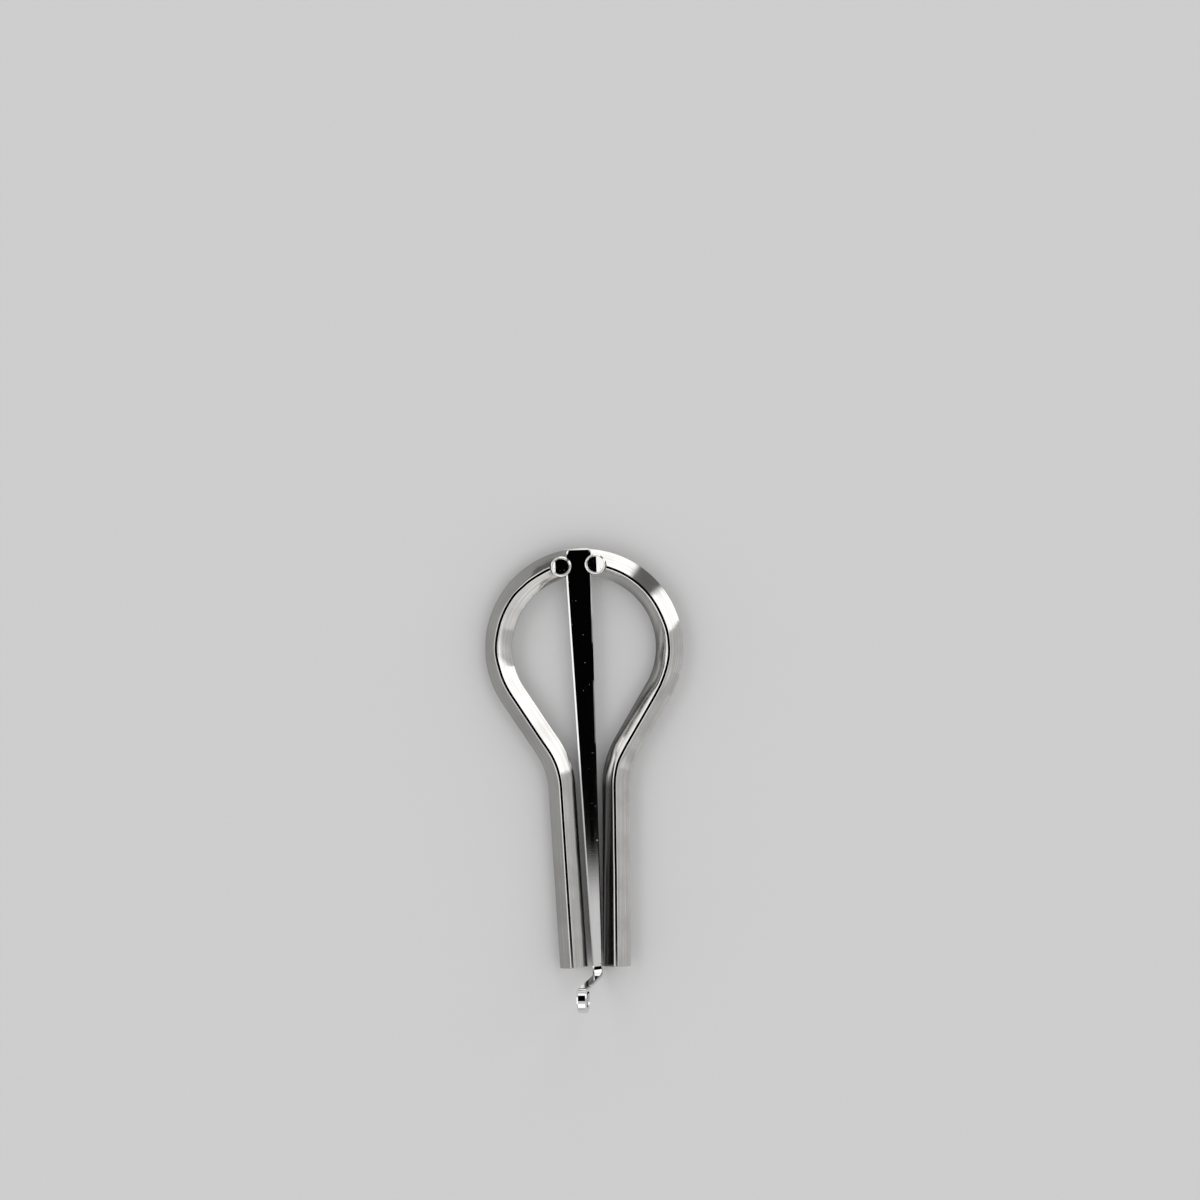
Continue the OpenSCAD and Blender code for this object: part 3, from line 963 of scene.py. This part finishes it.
def carve(owner, steps):
    # Cuts tools from a piece, or joins them to it, one after another
    for place, (operation, tool) in enumerate(steps):
        modifier = owner.modifiers.new(f"step_{place}", "BOOLEAN")
        modifier.operation = operation
        modifier.solver = "MANIFOLD"
        modifier.material_mode = "TRANSFER"
        modifier.object = tool
        tool.hide_render = True
    keepResult(owner)
    for _, tool in steps:
        bpy.data.objects.remove(tool)


slot = slotCutter("slot", -reed["thickness"] / 2, barHalf + stake["overrun"], stake["slotClear"])
carve(harpBar, [("DIFFERENCE", slot), ("DIFFERENCE", dressing())]
      + [("DIFFERENCE", pushedBack(side)) for side in sides]
      + [("UNION", rim(side)) for side in sides]
      + [("DIFFERENCE", mark(side)) for side in sides])
layAlong(harpBar.data, pathPoints)
markFaces(harpBar.data)
finishSmooth(harpBar.data, bar["sharpAngle"])
print("crown staked:", len(harpBar.data.polygons), "faces")


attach(harpBar, "harp_frame")
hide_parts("frame")
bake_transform(harpReed)
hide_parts("reed_root", "reed_tongue")


# Camera, as the photograph was taken: from straight above, turned a little
photo = {
    "distance": 1.2,
    "width": 0.231,                       # of what the frame takes in, at the harp's height
    "roll": math.radians(-2.05),
    "middle": (3.367 * mm, 9.05 * mm),    # of the frame, from the middle of the bow
    "sensor": 36.0,
    "clip": (0.01, 10.0),
}


def addCamera():
    data = bpy.data.cameras.new("photo_camera")
    data.sensor_width = photo["sensor"]
    data.lens = photo["sensor"] * photo["distance"] / photo["width"]
    data.clip_start, data.clip_end = photo["clip"]
    camera = linkObject("photo_camera", data)
    camera.location = bowMiddle + Vector((*photo["middle"], photo["distance"]))
    camera.rotation_euler = (0, 0, photo["roll"])
    bpy.context.scene.camera = camera


# Studio: a pale tent of light with soft boxes low at the upper right and at the left
studio = {
    # Light all round, by the height above the floor in degrees
    "tent": [(0, 0.44), (8, 0.44), (15, 0.60), (19, 0.75), (24, 1.40), (52, 1.42), (60, 0.66),
             (90, 0.66)],
    # Each panel: bearing of its middle, half its width, height of its top and softness of its sides,
    # all in degrees, and its brightness
    "panels": [(24.5, 14, 50, 1.5, 1.50), (76, 22.5, 50, 1.5, 1.50), (45, 9.4, 50, 3, 0.17),
               (122, 22, 12, 1.5, 0.25), (182, 34, 50, 1.5, 1.3), (-5, 13, 36, 3, 0.56),
               (-50, 17, 36, 2, 0.82), (-25, 8.5, 36, 1.5, 0.80), (-25, 8.5, 14, 1.5, 0.50)],
    "topSoftness": 4,             # how many times softer a panel's top is than its sides
    # Dark gap overhead, where the camera stands: limits and their softness, in degrees from upright
    "gapAcross": ((-22.0, 3.0), (4.8, 1.5)),
    "gapAlong": ((-3.52, 0.3), (47.0, 3.0)),
    "gapLight": 0.001,
    "floorColour": (0.65, 0.65, 0.65, 1),
    "floorRough": 0.8,
    "floorSize": 4.0,
}


def addWorld():
    world = bpy.data.worlds.new("studio")
    world.use_nodes = True
    bpy.context.scene.world = world
    tree = world.node_tree
    tree.nodes.clear()
    look = addNode(tree, "ShaderNodeTexCoord").outputs["Generated"]
    parts = addNode(tree, "ShaderNodeSeparateXYZ", {"Vector": look}).outputs
    height = calc(tree, "DEGREES", calc(tree, "ARCSINE", parts["Z"]))
    level = addNode(tree, "ShaderNodeCombineXYZ", {"X": parts["X"], "Y": parts["Y"]})
    bearing = addNode(tree, "ShaderNodeVectorMath", {0: level.outputs[0]}, operation="NORMALIZE")

    light = studio["tent"][0][1]
    for (low, before), (high, after) in zip(studio["tent"], studio["tent"][1:]):
        light = plus(tree, light, smoothStep(tree, height, low, high, 0.0, after - before))
    for middle, half, top, edge, value in studio["panels"]:
        towards = (math.cos(math.radians(middle)), math.sin(math.radians(middle)), 0)
        along = addNode(tree, "ShaderNodeVectorMath", {0: bearing.outputs[0], 1: towards},
                        operation="DOT_PRODUCT").outputs["Value"]
        away = calc(tree, "DEGREES", calc(tree, "ARCCOSINE", calc(tree, "MINIMUM", along, 1.0)))
        inside = smoothStep(tree, away, half + edge, half - edge)
        topEdge = studio["topSoftness"] * edge
        below = smoothStep(tree, height, top + topEdge, top - topEdge)
        light = mixValue(tree, times(tree, inside, below), light, value)

    inGap = calc(tree, "GREATER_THAN", parts["Z"], 0.0)
    for axis, limits in (("X", studio["gapAcross"]), ("Y", studio["gapAlong"])):
        (low, lowSoft), (high, highSoft) = limits
        angle = calc(tree, "DEGREES", calc(tree, "ARCSINE", parts[axis]))
        inGap = times(tree, inGap, smoothStep(tree, angle, low - lowSoft, low + lowSoft))
        inGap = times(tree, inGap, smoothStep(tree, angle, high + highSoft, high - highSoft))
    light = mixValue(tree, inGap, light, studio["gapLight"])

    # The camera sees plain white past the floor, and everything else sees the tent
    rays = addNode(tree, "ShaderNodeLightPath").outputs
    seen = mixValue(tree, rays["Is Camera Ray"], light, 1.0)
    shine = addNode(tree, "ShaderNodeBackground", {"Color": (1, 1, 1, 1), "Strength": seen})
    plug(tree, shine.outputs[0], addNode(tree, "ShaderNodeOutputWorld").inputs["Surface"])


def addFloor():
    half = studio["floorSize"] / 2
    corners = [(-half, -half, 0), (half, -half, 0), (half, half, 0), (-half, half, 0)]
    mesh = meshOf("floor", corners, [(0, 1, 2, 3)])
    material, _, paper = newMaterial("pale_floor", 0.0)
    paper.inputs["Base Color"].default_value = studio["floorColour"]
    paper.inputs["Roughness"].default_value = studio["floorRough"]
    paper.inputs["Specular IOR Level"].default_value = 0.0
    mesh.materials.append(material)
    linkObject("floor", mesh)


addCamera()
addWorld()
addFloor()
bpy.context.scene.view_settings.view_transform = "Standard"
print("camera, light and floor set")
